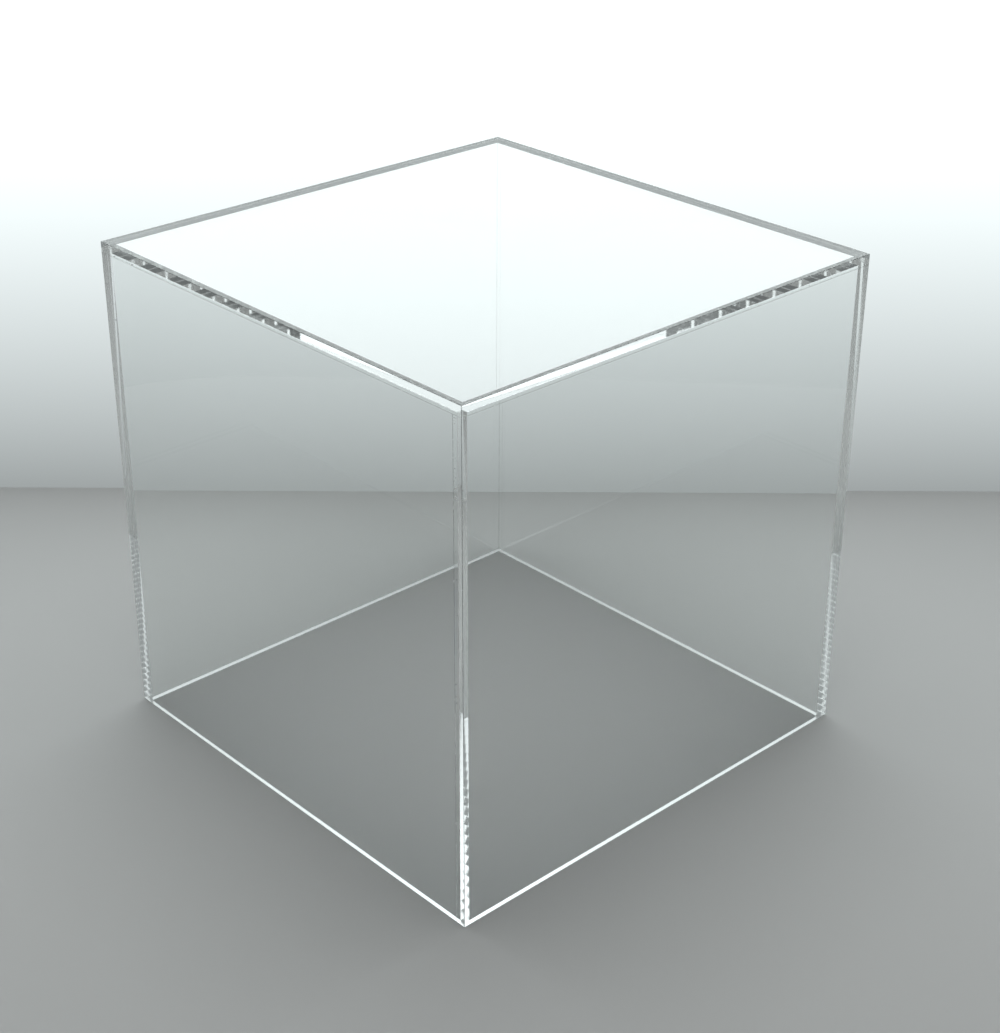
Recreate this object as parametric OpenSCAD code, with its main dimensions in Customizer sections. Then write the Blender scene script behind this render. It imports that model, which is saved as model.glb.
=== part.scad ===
// Five-sided display cube of clear cast acrylic sheet, open at the bottom.
// Four walls and a full-size top sheet are cemented together with flush butt joints.
// The origin is the centre of the resting plane, +Z is up and -Y is the front.

/* [Size] */
// Outside length of every side of the cube
cube_side = 300; // [150:5:500]
// Thickness of the cast sheet that all five panels are cut from
sheet_t = 6; // [3:0.5:12]

/* [Joints] */
// Thickness of the cement film between two sheets
film_t = 0.1; // [0.05:0.05:0.3]
// Leg of the small bead of cement along the inside corner of a joint
bead_leg = 0.2; // [0.1:0.05:1]

/* [Edges] */
// Leg of the arris along every outside edge, and along the inner edge of the rim below
arris = 0.2; // [0.1:0.05:0.8]
// Leg of the scrape on the walls' edges that leaves a fine groove outside along each joint
groove = 0.1; // [0.05:0.05:0.3]

/* [Hidden] */

// Colours of the clear sheet and of the cement
sheet_colour = [0.87, 0.93, 0.95, 0.35];
cement_colour = [0.95, 0.96, 0.93, 0.8];

// Half of the outside, and half of the clear space between two facing walls
half = cube_side / 2;
inner_half = half - sheet_t;
// Underside of the top sheet, and the walls' height, one cement film below it
ceiling_z = cube_side - sheet_t;
wall_h = ceiling_z - film_t;
// Half length of the side walls, which stop one film short of the front and back walls
side_wall_half = inner_half - film_t;
// Half of the square that the films reach to, at the bottom of the grooves
film_half = half - groove;
// The bead's surface is an arc about this point, as a multiple of its leg from the corner
bead_centre = 1.25 * bead_leg;
bead_r = norm([bead_centre, bead_centre - bead_leg]);

// A bar as long as the cube, along Z, whose four long edges carry the arris.
module eased_bar() {
    linear_extrude(cube_side, center = true)
        intersection() {
            square(cube_side, center = true);
            rotate(45) square(sqrt(2) * (cube_side - arris), center = true);
        }
}

// The outside shape of the finished cube, with an arris along all twelve edges.
module eased_cube() {
    translate([0, 0, half])
        intersection() {
            eased_bar();
            rotate([90, 0, 0]) eased_bar();
            rotate([0, 90, 0]) eased_bar();
        }
}

// A block between two opposite corners, trimmed to the outside shape.
module trimmed_block(low, high) {
    intersection() {
        translate(low) cube(high - low);
        eased_cube();
    }
}

// A square bar along X. Subtracted about an edge, it scrapes an arris off it.
module scraper(length, leg) {
    rotate([45, 0, 0]) cube([length, sqrt(2) * leg, sqrt(2) * leg], center = true);
}

// The scrapes that every wall at -Y gets: at its head outside, and at its foot inside.
module wall_scrapes() {
    translate([0, -half, wall_h]) scraper(2 * cube_side, groove);
    translate([0, -inner_half, 0]) scraper(2 * inner_half, arris);
}

// A front (side = -1) or back (side = 1) wall, as wide as the cube.
module wide_wall(side) {
    rotate(side > 0 ? 180 : 0)
        difference() {
            trimmed_block([-half, -half, 0], [half, -inner_half, wall_h]);
            wall_scrapes();
            for (end = [-half, half])
                translate([end, 0, wall_h]) rotate(90) scraper(2 * cube_side, groove);
        }
}

// A left (side = -1) or right (side = 1) wall, held between the front and back walls.
module held_wall(side) {
    rotate(side > 0 ? 90 : -90)
        difference() {
            trimmed_block([-side_wall_half, -half, 0], [side_wall_half, -inner_half, wall_h]);
            wall_scrapes();
            for (end = [-side_wall_half, side_wall_half])
                translate([end, -half, half]) rotate([0, 90, 0]) scraper(2 * cube_side, groove);
        }
}

// A bead along Z whose inside corner is on the Z axis, filling the +X +Y quadrant.
module bead(length) {
    linear_extrude(length)
        difference() {
            square(bead_leg);
            translate([bead_centre, bead_centre]) circle(bead_r, $fn = 64);
        }
}

// The upright seam of the front left corner: the film, which reaches out to the groove, and
// the bead on its inner side. Both start above the rim's arris.
module corner_seam() {
    translate([-film_half, -inner_half, arris])
        cube([film_half - inner_half, film_t, wall_h - arris]);
    translate([-inner_half, -inner_half, arris]) bead(ceiling_z - arris);
}

// The seam over a wall at -Y: a film of the given half length, and the bead under the top
// sheet, which stops at the beads of the upright seams.
module top_seam(half_length) {
    bead_half = inner_half - bead_leg;
    translate([-half_length, -film_half, wall_h])
        cube([2 * half_length, film_half - inner_half, film_t]);
    translate([-bead_half, -inner_half, ceiling_z])
        rotate([0, 90, 0]) bead(2 * bead_half);
}

module top_panel() {
    color(sheet_colour)
        trimmed_block([-half, -half, ceiling_z], [half, half, cube_side]);
}

module front_wall() {
    color(sheet_colour) wide_wall(-1);
}

module back_wall() {
    color(sheet_colour) wide_wall(1);
}

module left_wall() {
    color(sheet_colour) held_wall(-1);
}

module right_wall() {
    color(sheet_colour) held_wall(1);
}

module front_left_seam() {
    color(cement_colour) corner_seam();
}

module front_right_seam() {
    color(cement_colour) mirror([1, 0, 0]) corner_seam();
}

module back_left_seam() {
    color(cement_colour) mirror([0, 1, 0]) corner_seam();
}

module back_right_seam() {
    color(cement_colour) rotate(180) corner_seam();
}

module front_top_seam() {
    color(cement_colour) top_seam(film_half);
}

module back_top_seam() {
    color(cement_colour) rotate(180) top_seam(film_half);
}

module left_top_seam() {
    color(cement_colour) rotate(-90) top_seam(inner_half);
}

module right_top_seam() {
    color(cement_colour) rotate(90) top_seam(inner_half);
}

top_panel();
front_wall();
back_wall();
left_wall();
right_wall();
front_left_seam();
front_right_seam();
back_left_seam();
back_right_seam();
front_top_seam();
back_top_seam();
left_top_seam();
right_top_seam();
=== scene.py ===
"""Looks of the clear acrylic display cube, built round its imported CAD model.

Each sheet and each cement seam is a closed piece of its own. The faces where they are cemented
together are index matched, so light passes from sheet to sheet as in one block.
"""
import math
import random

import bmesh
import bpy
from mathutils import Matrix, Vector


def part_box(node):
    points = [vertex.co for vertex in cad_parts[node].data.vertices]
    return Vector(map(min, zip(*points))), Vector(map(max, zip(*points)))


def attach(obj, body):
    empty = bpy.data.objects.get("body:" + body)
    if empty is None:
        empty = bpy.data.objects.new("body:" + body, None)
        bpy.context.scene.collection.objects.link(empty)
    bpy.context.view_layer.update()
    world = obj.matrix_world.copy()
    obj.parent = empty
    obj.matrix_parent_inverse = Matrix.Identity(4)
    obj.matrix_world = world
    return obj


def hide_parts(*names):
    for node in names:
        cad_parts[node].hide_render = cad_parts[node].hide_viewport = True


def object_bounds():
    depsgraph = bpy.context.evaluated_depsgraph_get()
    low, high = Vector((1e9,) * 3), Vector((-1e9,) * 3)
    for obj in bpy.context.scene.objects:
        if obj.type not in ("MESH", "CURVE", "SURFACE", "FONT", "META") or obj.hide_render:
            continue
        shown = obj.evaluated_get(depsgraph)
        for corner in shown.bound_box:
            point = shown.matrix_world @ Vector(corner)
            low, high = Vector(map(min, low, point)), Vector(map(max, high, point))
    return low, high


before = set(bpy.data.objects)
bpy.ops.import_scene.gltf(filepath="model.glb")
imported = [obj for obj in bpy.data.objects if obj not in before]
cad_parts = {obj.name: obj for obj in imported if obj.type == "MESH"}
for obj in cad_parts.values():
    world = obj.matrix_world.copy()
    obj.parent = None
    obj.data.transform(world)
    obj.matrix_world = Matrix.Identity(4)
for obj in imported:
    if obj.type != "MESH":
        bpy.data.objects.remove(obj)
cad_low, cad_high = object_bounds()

MM = 0.001
UP = Vector((0, 0, 1))
SCENE = bpy.context.scene

# Sizes that the CAD model gives
SIDE = cad_high.x - cad_low.x
HALF = SIDE / 2
FRONT_LOW, FRONT_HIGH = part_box("front_wall")
SHEET_T = FRONT_HIGH.y - FRONT_LOW.y
INNER_HALF = HALF - SHEET_T
CEILING_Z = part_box("top_panel")[0].z
WALL_H = FRONT_HIGH.z
FILM_T = CEILING_Z - WALL_H
SEAM_LOW, SEAM_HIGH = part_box("front_left_seam")
BEAD_LEG = SEAM_HIGH.x + INNER_HALF
BEAD_LINE = INNER_HALF - BEAD_LEG
FILM_HALF = -SEAM_LOW.x
FILM_DEPTH = FILM_HALF - INNER_HALF
GROOVE = HALF - FILM_HALF
ARRIS = SEAM_LOW.z

# Points closer than this are the same, and a point this near to a cut lies on it
TOUCH = 0.001 * MM
CUT_TOUCH = TOUCH / 10
# How far the rim's two edges stand back from its middle, and the strips that make the curve
CROWN = 0.012 * MM
CROWN_STRIPS = 10
# The bead's hollow face: facets round it, the centre of its arc in legs from the corner, the
# length of a stretch along it, and how far its surface wanders from one stretch to the next
BEAD_FACETS = 6
BEAD_CENTRE = 1.25
BEAD_STEP = 2.5 * MM
BEAD_WANDER = 0.03 * MM
# A bubble's outline: its points and how far each may wander in or out
BUBBLE_POINTS = 10
BUBBLE_WANDER = (0.75, 1.2)
# Its section: how far each ring reaches and how high it lies, as shares of outline and film
BUBBLE_RINGS = ((0.8, 0.12), (1.0, 0.5), (0.8, 0.88))
# Its half length as a share of the longest, a power that favours long ones, and its breadth
# as a share of its length
BUBBLE_LENGTHS = (0.15, 1)
BUBBLE_SKEW = 0.3
BUBBLE_BREADTHS = (0.3, 0.7)
# Its largest turn, and the clear distances round it and to the seam's ends in half lengths
BUBBLE_TURN = 0.7
BUBBLE_CLEAR = 1.3
BUBBLE_END = 2

ACRYLIC_IOR = 1.49
SHEET_TINT = (0.985, 0.995, 0.992, 1)
ARRIS_TINT = (0.98, 0.99, 0.99, 1)
CEMENT_TINT = (0.98, 0.985, 0.98, 1)
BOND_TINT = (0.998, 0.999, 0.998, 1)

# Material places on a sheet, and on a seam
FACE, EDGE, ARRIS_FACE, BOND = range(4)
SKIN, WETTED, BUBBLE_WALL = range(3)


# ---------------------------------------------------------------- node helpers

def put(tree, kind, sockets=None, **settings):
    """A new node with its settings, and its sockets set to numbers or linked."""
    node = tree.nodes.new(kind)
    for key, value in settings.items():
        setattr(node, key, value)
    for key, value in (sockets or {}).items():
        if isinstance(value, bpy.types.NodeSocket):
            tree.links.new(value, node.inputs[key])
        else:
            node.inputs[key].default_value = value
    return node


def new_material(name):
    material = bpy.data.materials.new(name)
    material.use_nodes = True
    material.node_tree.nodes.clear()
    return material


def show(tree, shader):
    put(tree, "ShaderNodeOutputMaterial", {"Surface": shader})


def object_place(tree):
    return put(tree, "ShaderNodeTexCoord").outputs["Object"]


def noise(tree, place, scale, detail=2.0):
    return put(tree, "ShaderNodeTexNoise",
               {"Vector": place, "Scale": scale, "Detail": detail}).outputs["Fac"]


def remap(tree, value, low, high, to_low=0.0, to_high=1.0, clamp=True):
    return put(tree, "ShaderNodeMapRange",
               {"Value": value, "From Min": low, "From Max": high,
                "To Min": to_low, "To Max": to_high}, clamp=clamp).outputs["Result"]


def times(tree, first, second):
    return put(tree, "ShaderNodeMath", {0: first, 1: second}, operation="MULTIPLY").outputs[0]


def bump(tree, height, distance):
    return put(tree, "ShaderNodeBump", {"Height": height, "Distance": distance}).outputs["Normal"]


# ---------------------------------------------------------------- materials

def show_acrylic(tree, tint, roughness, normal):
    """Clear acrylic, which the sheets and the cement both are."""
    acrylic = put(tree, "ShaderNodeBsdfPrincipled", {
        "Base Color": tint, "Roughness": roughness, "IOR": ACRYLIC_IOR,
        "Transmission Weight": 1.0, "Normal": normal})
    show(tree, acrylic.outputs[0])


def smudges(tree, place):
    """Faint handling marks, as roughness: broad patches broken up by fine skin texture."""
    patches = remap(tree, noise(tree, place, scale=11.0, detail=3.0), 0.56, 0.72)
    texture = remap(tree, noise(tree, place, scale=900.0), 0.45, 0.6)
    return times(tree, patches, times(tree, texture, 0.05))


def cast_face():
    """The sheet's faces as cast: glossy, with the faint broad ripple of cast sheet."""
    material = new_material("acrylic_cast_face")
    tree = material.node_tree
    place = object_place(tree)
    ripple = noise(tree, place, scale=14.0, detail=1.0)
    show_acrylic(tree, SHEET_TINT, roughness=smudges(tree, place),
                 normal=bump(tree, ripple, 0.015 * MM))
    return material


def polished_edge():
    """Diamond-polished edges: clear, with fine slanted cutter marks across the thickness."""
    material = new_material("acrylic_polished_edge")
    tree = material.node_tree
    marks = put(tree, "ShaderNodeTexWave",
                {"Vector": object_place(tree), "Scale": 1250.0, "Distortion": 1.0},
                bands_direction="DIAGONAL").outputs["Fac"]
    show_acrylic(tree, SHEET_TINT, roughness=0.01, normal=bump(tree, marks, 0.0004 * MM))
    return material


def scraped_arris():
    """The arris: scraped by hand and left satin."""
    material = new_material("acrylic_scraped_arris")
    tree = material.node_tree
    chatter = noise(tree, object_place(tree), scale=700.0, detail=3.0)
    show_acrylic(tree, ARRIS_TINT, roughness=remap(tree, chatter, 0.3, 0.7, 0.12, 0.3),
                 normal=bump(tree, chatter, 0.004 * MM))
    return material


def bonded_face(name):
    """A face cemented to the next piece: index matched, so light goes straight through."""
    material = new_material(name)
    tree = material.node_tree
    show(tree, put(tree, "ShaderNodeBsdfTransparent", {"Color": BOND_TINT}).outputs[0])
    return material


def cement_skin():
    """Cured cement where it meets the air: the bead, and the film's rim in the groove."""
    material = new_material("cement_skin")
    tree = material.node_tree
    place = object_place(tree)
    gloss = remap(tree, noise(tree, place, scale=300.0), 0.3, 0.7, 0.02, 0.08)
    show_acrylic(tree, CEMENT_TINT, roughness=gloss,
                 normal=bump(tree, noise(tree, place, scale=500.0), 0.01 * MM))
    return material


def bubble_wall():
    """The wall of a bubble in the cement: it set smooth round the trapped air."""
    material = new_material("cement_bubble_wall")
    tree = material.node_tree
    orange_peel = noise(tree, object_place(tree), scale=2500.0)
    show_acrylic(tree, CEMENT_TINT, roughness=remap(tree, orange_peel, 0.3, 0.7, 0.02, 0.12),
                 normal=bump(tree, orange_peel, 0.005 * MM))
    return material


# ---------------------------------------------------------------- mesh helpers

def everything(bm):
    return bm.verts[:] + bm.edges[:] + bm.faces[:]


def scrape(bm, place, normal, leg):
    """Cuts an arris off an edge. The edge runs through the place, and the normal is the sum of
    the normals of the two faces that meet there."""
    cut = bmesh.ops.bisect_plane(bm, geom=everything(bm), dist=CUT_TOUCH, clear_outer=True,
                                 plane_co=place - normal * leg / 2, plane_no=normal)["geom_cut"]
    edges = [e for e in cut if isinstance(e, bmesh.types.BMEdge) and e.is_boundary]
    if edges:
        for face in bmesh.ops.edgeloop_fill(bm, edges=edges)["faces"]:
            face.material_index = ARRIS_FACE


def ease(bm):
    """Trims a sheet to the cube's outside shape, which has an arris along all twelve edges."""
    for i in (-1, 1):
        for j in (-1, 1):
            scrape(bm, Vector((i, j, 0)) * HALF, Vector((i, j, 0)), ARRIS)
    for out in (Vector((-1, 0, 0)), Vector((1, 0, 0)), Vector((0, -1, 0)), Vector((0, 1, 0))):
        scrape(bm, out * HALF + UP * SIDE, out + UP, ARRIS)
        scrape(bm, out * HALF, out - UP, ARRIS)


def split_at(bm, axis, place):
    """Splits the faces that cross a plane square to an axis."""
    normal = Vector((0, 0, 0))
    normal[axis] = 1
    bmesh.ops.bisect_plane(bm, geom=everything(bm), dist=CUT_TOUCH,
                           plane_co=normal * place, plane_no=normal)


def make_piece(bm, name, materials, node):
    """An object from the mesh, which rides on the one body and stands for a CAD node."""
    mesh = bpy.data.meshes.new(name)
    bm.to_mesh(mesh)
    bm.free()
    for material in materials:
        mesh.materials.append(material)
    piece = bpy.data.objects.new(name, mesh)
    SCENE.collection.objects.link(piece)
    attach(piece, "root")
    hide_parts(node)


# ---------------------------------------------------------------- sheets

def is_bonded(point):
    """True for a face centre that lies where a sheet meets another sheet's cement."""
    at_groove = max(abs(point.x), abs(point.y)) > FILM_HALF + TOUCH
    if at_groove or point.z > SIDE - TOUCH or point.z < ARRIS - TOUCH:
        return False
    meets = (abs(point.x) > BEAD_LINE, abs(point.y) > BEAD_LINE, point.z > CEILING_Z - BEAD_LEG)
    return sum(meets) > 1


def sheet_block(node, edge_axes):
    """The plain block of a sheet, with its faces sorted into cast faces, sawn edges (those that
    face along edge_axes) and bonded stretches."""
    low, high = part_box(node)
    bm = bmesh.new()
    bmesh.ops.create_cube(bm, size=1.0, matrix=Matrix.Translation((low + high) / 2)
                          @ Matrix.Diagonal((*(high - low), 1)))
    for place in (FILM_HALF, INNER_HALF, BEAD_LINE):
        for axis in (0, 1):
            split_at(bm, axis, -place)
            split_at(bm, axis, place)
    split_at(bm, 2, CEILING_Z - BEAD_LEG)
    split_at(bm, 2, ARRIS)
    for face in bm.faces:
        facing = max(range(3), key=lambda i: abs(face.normal[i]))
        if is_bonded(face.calc_center_median()):
            face.material_index = BOND
        elif facing in edge_axes:
            face.material_index = EDGE
        else:
            face.material_index = FACE
    return bm


def finish_sheet(bm, node):
    bmesh.ops.recalc_face_normals(bm, faces=bm.faces[:])
    make_piece(bm, node + "_sheet", SHEET_MATERIALS, node)


def top_sheet():
    bm = sheet_block("top_panel", (0, 1))
    ease(bm)
    finish_sheet(bm, "top_panel")


def wall_sheet(node, out, held):
    """A wall that faces out. A held one stands between two walls, and the others are as wide as
    the cube."""
    along = Vector((-out.y, out.x, 0))
    bm = sheet_block(node, (2, 0 if along.x else 1))
    scrape_foot_inside(bm, out)
    ease(bm)
    scrape(bm, out * HALF + UP * WALL_H, out + UP, GROOVE)
    for end in (-along, along):
        if held:
            scrape(bm, out * HALF + end * (INNER_HALF - FILM_T), out + end, GROOVE)
        else:
            scrape(bm, end * HALF + UP * WALL_H, end + UP, GROOVE)
    crown_rim(bm, out)
    finish_sheet(bm, node)


def scrape_foot_inside(bm, out):
    """The arris on a wall's inner foot, between the walls on both sides of it."""
    def on_edge(point):
        at_foot = abs(point.z) < TOUCH
        at_inner_face = abs(point.dot(out) - INNER_HALF) < TOUCH
        across = Vector((point.x * out.y, point.y * out.x, 0)).length
        return at_foot and at_inner_face and across < INNER_HALF + TOUCH

    edges = [e for e in bm.edges if all(on_edge(v.co) for v in e.verts)]
    cut = bmesh.ops.bevel(bm, geom=edges, offset=ARRIS, offset_type="OFFSET", segments=1,
                          profile=0.5, affect="EDGES")
    for face in cut["faces"]:
        face.material_index = ARRIS_FACE


def crown_rim(bm, out):
    """Buffing leaves the rim a little crowned: lowest along its middle."""
    middle = HALF - SHEET_T / 2
    axis = 0 if out.x else 1
    for i in range(1, CROWN_STRIPS):
        split_at(bm, axis, out[axis] * (INNER_HALF + SHEET_T * i / CROWN_STRIPS))
    for vert in bm.verts:
        if vert.co.z < TOUCH:
            off = (vert.co.dot(out) - middle) / (SHEET_T / 2)
            vert.co.z += CROWN * off * off


# ---------------------------------------------------------------- seams

def bead_ring(swell):
    """The bead's section: the corner, its hollow face from one sheet to the other, swollen by
    a share of its leg, and the film's far side."""
    radius = math.hypot(BEAD_CENTRE, BEAD_CENTRE - 1)
    start = math.atan2(-BEAD_CENTRE, 1 - BEAD_CENTRE)
    finish = math.atan2(1 - BEAD_CENTRE, -BEAD_CENTRE)
    turn = (finish - start) % -math.tau
    ring = [(0, 0)]
    for i in range(BEAD_FACETS + 1):
        share = i / BEAD_FACETS
        angle = start + turn * share
        grow = swell * math.sin(math.pi * share)
        ring.append(((BEAD_CENTRE + radius * math.cos(angle) + grow) * BEAD_LEG,
                     (BEAD_CENTRE + radius * math.sin(angle) + grow) * BEAD_LEG))
    return ring + [(0, FILM_T)]


def seam_levels(film_run, bead_run):
    """The places along a seam where its section is drawn: all along the bead, and where the
    film ends."""
    length = bead_run[1] - bead_run[0]
    steps = max(1, round(length / BEAD_STEP))
    levels = {bead_run[0] + length * i / steps for i in range(steps + 1)}
    return sorted(levels | set(film_run))


def seam(node, film_run, bead_run, place, bubbles):
    """A cement seam: a film between two sheets and a bead in the inside corner.

    The film fills u from -FILM_DEPTH to 0 and v from 0 to FILM_T, and the bead the corner at
    u = v = 0. Both run along w, and place turns (u, v, w) into a point of the cube."""
    draw = random.Random(node)
    levels = seam_levels(film_run, bead_run)
    film = [(-FILM_DEPTH, 0), (0, 0), (0, FILM_T), (-FILM_DEPTH, FILM_T)]
    films = [film] * len(levels)
    beads = [bead_ring(draw.uniform(-1, 1) * BEAD_WANDER / BEAD_LEG) for _ in levels]
    bm = bmesh.new()
    loft(bm, levels, place, ((film_run, films, 0), (bead_run, beads, BEAD_FACETS)))
    for face in bm.faces:
        centre = face.calc_center_median()
        if centre.z < ARRIS + TOUCH or max(abs(centre.x), abs(centre.y)) > FILM_HALF - TOUCH:
            face.material_index = SKIN
    bmesh.ops.recalc_face_normals(bm, faces=bm.faces[:])
    add_bubbles(bm, place, film_run, bubbles, draw)
    make_piece(bm, node + "_cement", CEMENT_MATERIALS, node)


def loft(bm, levels, place, parts):
    """Joins the rings of each part into a closed bar, and the bars into one where they run side
    by side. A part is its run along the seam, its ring at every level, and how many of the
    ring's sides after the first face the air."""
    corners = {}

    def corner(u, v, w):
        key = (round(u / TOUCH), round(v / TOUCH), round(w / TOUCH))
        if key not in corners:
            corners[key] = bm.verts.new(place(u, v, w))
        return corners[key]

    def fills(run, i):
        """True if a run fills the stretch from level i to the next."""
        return (0 <= i < len(levels) - 1 and run[0] - TOUCH < levels[i]
                and levels[i + 1] < run[1] + TOUCH)

    for i, level in enumerate(levels):
        joined = all(fills(run, i) for run, _, _ in parts)
        for run, rings, in_air in parts:
            if fills(run, i) != fills(run, i - 1):
                bm.faces.new([corner(u, v, level) for u, v in rings[i]]).material_index = WETTED
            if not fills(run, i):
                continue
            for j, here in enumerate(rings[i]):
                k = (j + 1) % len(rings[i])
                if joined and {here, rings[i][k]} == {(0, 0), (0, FILM_T)}:
                    continue
                side = bm.faces.new([corner(*here, level), corner(*rings[i][k], level),
                                     corner(*rings[i + 1][k], levels[i + 1]),
                                     corner(*rings[i + 1][j], levels[i + 1])])
                side.material_index = SKIN if 0 < j <= in_air else WETTED


def add_bubbles(bm, place, film_run, bubbles, draw):
    """Flat bubbles shut in the film, in stretches where the cement was starved."""
    placed = []
    for middle, spread, count, longest in bubbles:
        for _ in range(count):
            long = draw.uniform(*BUBBLE_LENGTHS) * longest * draw.random() ** BUBBLE_SKEW
            wide = long * draw.uniform(*BUBBLE_BREADTHS)
            w = middle + draw.triangular(-spread, spread)
            u = -draw.uniform(BUBBLE_CLEAR * long, FILM_DEPTH - BUBBLE_CLEAR * long)
            turn = draw.uniform(-BUBBLE_TURN, BUBBLE_TURN)
            inside = film_run[0] + BUBBLE_END * long < w < film_run[1] - BUBBLE_END * long
            clear = all(math.hypot(u - a, w - b) > BUBBLE_CLEAR * (long + c)
                        for a, b, c in placed)
            if inside and clear:
                placed.append((u, w, long))
                bubble(bm, place, u, w, long, wide, turn, draw)


def bubble(bm, place, u, w, long, wide, turn, draw):
    """A flat bubble with a wandering outline. Its normals face into it, away from the cement."""
    wander = [draw.uniform(*BUBBLE_WANDER) for _ in range(BUBBLE_POINTS)]
    rings = []
    for reach, rise in BUBBLE_RINGS:
        ring = []
        for i in range(BUBBLE_POINTS):
            angle = math.tau * i / BUBBLE_POINTS
            a = math.cos(angle) * long * wander[i] * reach
            b = math.sin(angle) * wide * wander[i] * reach
            across = a * math.cos(turn) - b * math.sin(turn)
            along = a * math.sin(turn) + b * math.cos(turn)
            ring.append(bm.verts.new(place(u + across, FILM_T * rise, w + along)))
        rings.append(ring)
    faces = [bm.faces.new(rings[0]), bm.faces.new(rings[-1])]
    for low, high in zip(rings, rings[1:]):
        for i in range(BUBBLE_POINTS):
            j = (i + 1) % BUBBLE_POINTS
            faces.append(bm.faces.new([low[i], low[j], high[j], high[i]]))
    for face in faces:
        face.material_index = BUBBLE_WALL
    bmesh.ops.recalc_face_normals(bm, faces=faces)
    bmesh.ops.reverse_faces(bm, faces=faces)


def upright_place(x_side, y_side):
    """Places a corner seam: u runs inwards along X, v inwards along Y and w up."""
    return lambda u, v, w: Vector((x_side * (INNER_HALF - u), y_side * (INNER_HALF - v), w))


def top_place(turns):
    """Places a seam under the top sheet: u runs inwards, v down from the ceiling and w along."""
    turn = Matrix.Rotation(math.pi / 2 * turns, 3, "Z")
    return lambda u, v, w: turn @ Vector((w, u - INNER_HALF, CEILING_Z - v))


# Upright seams: the sides of X and Y that each stands at
UPRIGHT_SEAMS = {"front_left_seam": (-1, -1), "front_right_seam": (1, -1),
                 "back_left_seam": (-1, 1), "back_right_seam": (1, 1)}
# Seams under the top sheet: quarter turns from the front, and half length
TOP_SEAMS = {"front_top_seam": (0, FILM_HALF), "right_top_seam": (1, INNER_HALF),
             "back_top_seam": (2, FILM_HALF), "left_top_seam": (3, INNER_HALF)}
# Starved stretches of each: middle along the seam, half length, how many bubbles are tried and
# the half length of the longest
BUBBLES = {
    "front_left_seam": [(0.252, 0.006, 16, 2.2 * MM), (0.262, 0.012, 16, 1.0 * MM),
                        (0.2905, 0.003, 12, 1.3 * MM), (0.15, 0.13, 20, 0.8 * MM)],
    "front_right_seam": [(0.24, 0.03, 12, 1.2 * MM), (0.1, 0.09, 8, 0.8 * MM)],
    "back_left_seam": [(0.27, 0.02, 12, 1.2 * MM), (0.13, 0.12, 8, 0.8 * MM)],
    "back_right_seam": [(0.2, 0.08, 12, 0.8 * MM)],
    "front_top_seam": [(-0.142, 0.006, 16, 1.3 * MM), (0.03, 0.05, 20, 0.8 * MM),
                       (0.1, 0.04, 20, 0.8 * MM)],
    "right_top_seam": [(-0.1, 0.03, 12, 0.8 * MM), (0.09, 0.04, 10, 1.2 * MM)],
    "back_top_seam": [(-0.12, 0.03, 12, 1.2 * MM), (0.05, 0.08, 10, 0.8 * MM)],
    "left_top_seam": [(-0.13, 0.011, 40, 2.0 * MM), (0.137, 0.006, 20, 1.4 * MM),
                      (0.0, 0.1, 14, 0.8 * MM)],
}


def seams():
    for node, (x_side, y_side) in UPRIGHT_SEAMS.items():
        seam(node, (ARRIS, WALL_H), (ARRIS, CEILING_Z), upright_place(x_side, y_side),
             BUBBLES[node])
    for node, (turns, half_length) in TOP_SEAMS.items():
        seam(node, (-half_length, half_length), (-BEAD_LINE, BEAD_LINE), top_place(turns),
             BUBBLES[node])


# ---------------------------------------------------------------- studio

# Direction that the camera looks, and its place, in cube sides from the origin
LOOK_TURN = math.radians(47.06)
LOOK_DOWN = math.radians(27.53)
CAMERA_ROLL = math.radians(0.24)
CAMERA_AT = Vector((-2.2738, -2.4928, 2.2019))
CAMERA_LENS = 67.36
CAMERA_SENSOR = 36
# Floor a hair below the resting edges, so that light is turned back inside them
FLOOR_Z = -0.2 * MM
FLOOR_HALF = 20 * SIDE
FLOOR_TINT = (0.46, 0.465, 0.46, 1)
# The light tent, in cube sides: how far its wall stands beyond the cube's middle as the camera
# looks, how far before it and to each side, its height, and the radius of its corners
TENT_AHEAD, TENT_BEHIND, TENT_ASIDE = 1.0, 2.7, 2.4
TENT_TALL = 3.0
TENT_ROUND = 1.0
TENT_CORNER_STEPS = 12
TENT_TINT = (0.92, 0.995, 1.0, 1)
# Its glow ahead, at the floor and at the cube's height, and where ahead begins
GLOW_AHEAD = (0.38, 1.25)
AHEAD_FROM = 0.4
# Its glow all round, low down and higher up, and the two heights
GLOW_ROUND = (0.14, 0.3)
ROUND_LOW, ROUND_HIGH = 0.15, 0.8
# The softbox overhead: its height and width in cube sides, and its watts
SOFTBOX_HIGH = 5
SOFTBOX_WIDE = 3.3
SOFTBOX_WATTS = 6.0
# Light from above the open tent
AIR_GLOW = 0.6
# Light turned back inside a sheet runs its whole length, in many bounces
BOUNCES = 200


def camera():
    data = bpy.data.cameras.new("photo_view")
    data.lens = CAMERA_LENS
    data.sensor_width = CAMERA_SENSOR
    eye = bpy.data.objects.new("photo_view", data)
    forward = Vector((math.cos(LOOK_TURN) * math.cos(LOOK_DOWN),
                      math.sin(LOOK_TURN) * math.cos(LOOK_DOWN), -math.sin(LOOK_DOWN)))
    aim = forward.to_track_quat("-Z", "Y").to_matrix() @ Matrix.Rotation(CAMERA_ROLL, 3, "Z")
    eye.matrix_world = Matrix.Translation(CAMERA_AT * SIDE) @ aim.to_4x4()
    SCENE.collection.objects.link(eye)
    SCENE.camera = eye


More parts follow.
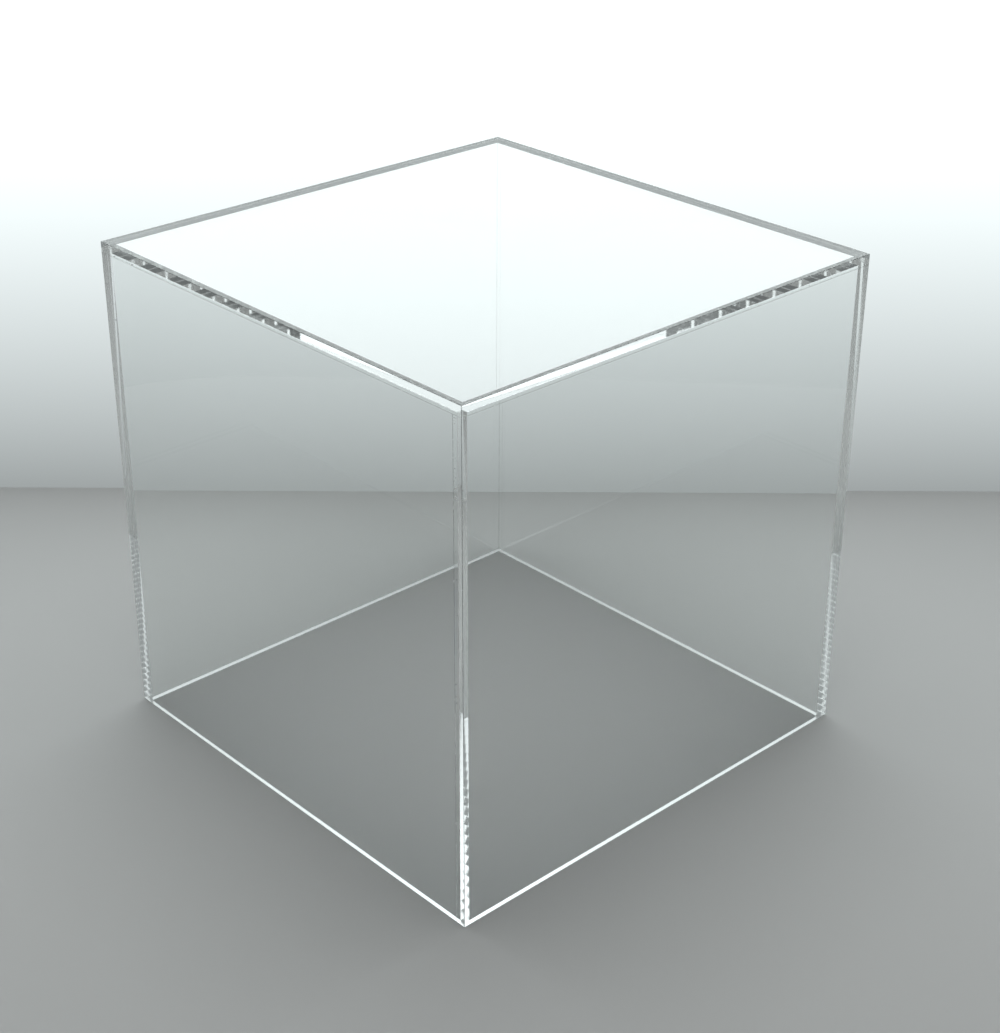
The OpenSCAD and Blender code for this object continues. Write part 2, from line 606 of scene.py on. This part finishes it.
def one_sided(tree, shader):
    """Shows the shader on the front of a surface only, so that it never hides the object."""
    back = put(tree, "ShaderNodeNewGeometry").outputs["Backfacing"]
    clear = put(tree, "ShaderNodeBsdfTransparent")
    mixed = put(tree, "ShaderNodeMixShader", {0: back, 1: shader, 2: clear.outputs[0]})
    show(tree, mixed.outputs[0])


def floor_material():
    material = new_material("studio_floor")
    tree = material.node_tree
    grain = noise(tree, object_place(tree), scale=60.0, detail=4.0)
    paper = put(tree, "ShaderNodeBsdfPrincipled", {
        "Base Color": FLOOR_TINT, "Roughness": 0.75, "Normal": bump(tree, grain, 0.05 * MM)})
    one_sided(tree, paper.outputs[0])
    return material


def tent_material():
    """The lit wall of the tent: bright ahead of the camera and more so higher up, and dim all
    round, dimmest at its foot."""
    material = new_material("studio_tent")
    tree = material.node_tree
    place = put(tree, "ShaderNodeSeparateXYZ", {0: object_place(tree)}).outputs
    bright = remap(tree, place["Z"], 0.0, SIDE, *GLOW_AHEAD, clamp=False)
    dim = remap(tree, place["Z"], ROUND_LOW * SIDE, ROUND_HIGH * SIDE, *GLOW_ROUND)
    ahead = remap(tree, place["Y"], AHEAD_FROM * SIDE, TENT_AHEAD * SIDE)
    glow = put(tree, "ShaderNodeMix", {"Factor": ahead, "A": dim, "B": bright}).outputs["Result"]
    paper = put(tree, "ShaderNodeEmission", {"Color": TENT_TINT, "Strength": glow})
    one_sided(tree, paper.outputs[0])
    return material


def stage_piece(name, verts, faces, material):
    """A piece of the stage. Its X runs across the view and its Y away from the camera."""
    mesh = bpy.data.meshes.new(name)
    mesh.from_pydata(verts, [], faces)
    mesh.materials.append(material)
    thing = bpy.data.objects.new(name, mesh)
    thing.matrix_world = (Matrix.Translation((0, 0, FLOOR_Z))
                          @ Matrix.Rotation(LOOK_TURN - math.pi / 2, 4, "Z"))
    SCENE.collection.objects.link(thing)


def tent_plan():
    """The tent's plan: a rectangle with round corners, anticlockwise."""
    right, ahead, behind = (d - TENT_ROUND for d in (TENT_ASIDE, TENT_AHEAD, TENT_BEHIND))
    corners = [(right, ahead), (-right, ahead), (-right, -behind), (right, -behind)]
    plan = []
    for quarter, (x, y) in enumerate(corners):
        for i in range(TENT_CORNER_STEPS + 1):
            angle = (quarter + i / TENT_CORNER_STEPS) * math.pi / 2
            plan.append(((x + TENT_ROUND * math.cos(angle)) * SIDE,
                         (y + TENT_ROUND * math.sin(angle)) * SIDE))
    return plan


def studio():
    square = [(-1, -1), (1, -1), (1, 1), (-1, 1)]
    stage_piece("studio_floor", [(x * FLOOR_HALF, y * FLOOR_HALF, 0) for x, y in square],
                [(0, 1, 2, 3)], floor_material())
    plan = tent_plan()
    count = len(plan)
    verts = [(x, y, 0) for x, y in plan] + [(x, y, TENT_TALL * SIDE) for x, y in plan]
    faces = [((i + 1) % count, i, count + i, count + (i + 1) % count) for i in range(count)]
    stage_piece("studio_tent", verts, faces, tent_material())
    softbox()
    air()


def softbox():
    data = bpy.data.lights.new("overhead_softbox", "AREA")
    data.energy = SOFTBOX_WATTS
    data.size = SOFTBOX_WIDE * SIDE
    lamp = bpy.data.objects.new("overhead_softbox", data)
    lamp.location = UP * SOFTBOX_HIGH * SIDE
    SCENE.collection.objects.link(lamp)


def air():
    world = bpy.data.worlds.new("studio_air")
    world.use_nodes = True
    background = world.node_tree.nodes["Background"]
    background.inputs["Color"].default_value = (1, 1, 1, 1)
    background.inputs["Strength"].default_value = AIR_GLOW
    SCENE.world = world


def light_paths():
    cycles = SCENE.cycles
    cycles.max_bounces = BOUNCES
    cycles.glossy_bounces = BOUNCES
    cycles.transmission_bounces = BOUNCES
    cycles.transparent_max_bounces = BOUNCES
    SCENE.view_settings.view_transform = "Standard"


# ---------------------------------------------------------------- the object

SHEET_MATERIALS = [cast_face(), polished_edge(), scraped_arris(),
                   bonded_face("acrylic_bonded_face")]
CEMENT_MATERIALS = [cement_skin(), bonded_face("cement_bonded_face"), bubble_wall()]

camera()
studio()
light_paths()
top_sheet()
wall_sheet("front_wall", Vector((0, -1, 0)), held=False)
wall_sheet("back_wall", Vector((0, 1, 0)), held=False)
wall_sheet("left_wall", Vector((-1, 0, 0)), held=True)
wall_sheet("right_wall", Vector((1, 0, 0)), held=True)
seams()
